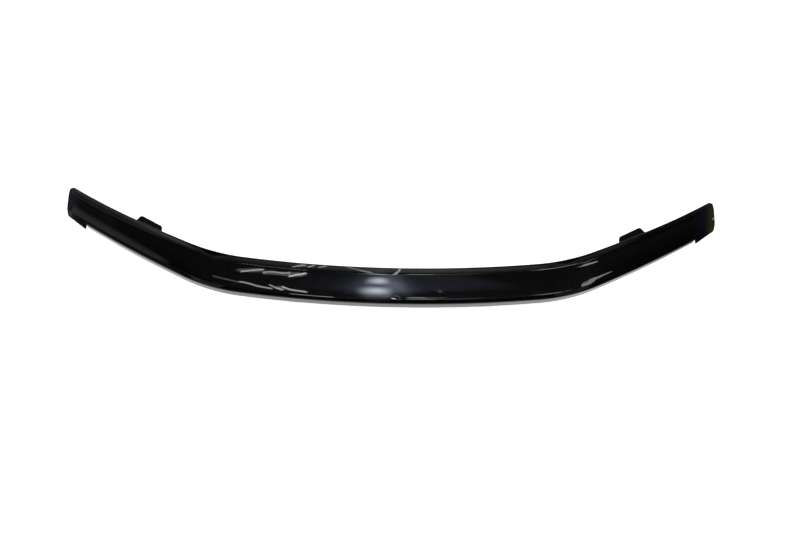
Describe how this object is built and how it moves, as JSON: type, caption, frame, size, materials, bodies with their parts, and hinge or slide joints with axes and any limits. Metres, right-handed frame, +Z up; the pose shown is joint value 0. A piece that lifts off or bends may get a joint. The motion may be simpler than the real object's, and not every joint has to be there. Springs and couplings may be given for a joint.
{
  "type": "hood bug deflector",
  "caption": "Curved gloss black acrylic strip for a car hood's front edge, with a turned-under flange, steel bracket tongues, clips and soft pads.",
  "frame": {"origin": "the place of the hood's front edge in the channel, on the centre plane, 30 mm behind the middle of the nose line and level with it", "axes": "+X along the hood's front edge (the vehicle's left), +Y back towards the windscreen, +Z up, as fitted to the vehicle"},
  "size_m": [1.4142, 0.264, 0.0973],
  "materials": {
    "gloss_acrylic": "high gloss, very dark smoke acrylic sheet, thermoformed",
    "painted_strap": "matte black powder paint on steel strap",
    "zinc_fastener": "zinc plated",
    "spring_clip": "dark phosphated spring steel",
    "soft_washer": "matte black rubber",
    "foam_pad": "matte black closed-cell foam rubber"
  },
  "bodies": {
    "root": {"left_centre_bracket": "painted_strap", "left_centre_clip_screw": "zinc_fastener", "left_centre_clip_washer": "soft_washer", "left_centre_hood_clip": "spring_clip", "left_centre_shield_nut": "zinc_fastener", "left_centre_shield_screw": "zinc_fastener", "left_centre_shield_washer": "soft_washer", "left_pad_1": "foam_pad", "left_pad_2": "foam_pad", "left_pad_3": "foam_pad", "left_pad_4": "foam_pad", "left_side_bracket": "painted_strap", "left_side_clip_screw": "zinc_fastener", "left_side_clip_washer": "soft_washer", "left_side_hood_clip": "spring_clip", "left_side_shield_nut_inner": "zinc_fastener", "left_side_shield_nut_outer": "zinc_fastener", "left_side_shield_screw_inner": "zinc_fastener", "left_side_shield_screw_outer": "zinc_fastener", "left_side_shield_washer_inner": "soft_washer", "left_side_shield_washer_outer": "soft_washer", "right_centre_bracket": "painted_strap", "right_centre_clip_screw": "zinc_fastener", "right_centre_clip_washer": "soft_washer", "right_centre_hood_clip": "spring_clip", "right_centre_shield_nut": "zinc_fastener", "right_centre_shield_screw": "zinc_fastener", "right_centre_shield_washer": "soft_washer", "right_pad_1": "foam_pad", "right_pad_2": "foam_pad", "right_pad_3": "foam_pad", "right_pad_4": "foam_pad", "right_side_bracket": "painted_strap", "right_side_clip_screw": "zinc_fastener", "right_side_clip_washer": "soft_washer", "right_side_hood_clip": "spring_clip", "right_side_shield_nut_inner": "zinc_fastener", "right_side_shield_nut_outer": "zinc_fastener", "right_side_shield_screw_inner": "zinc_fastener", "right_side_shield_screw_outer": "zinc_fastener", "right_side_shield_washer_inner": "soft_washer", "right_side_shield_washer_outer": "soft_washer", "shield": "gloss_acrylic"}
  },
  "joints": []
}
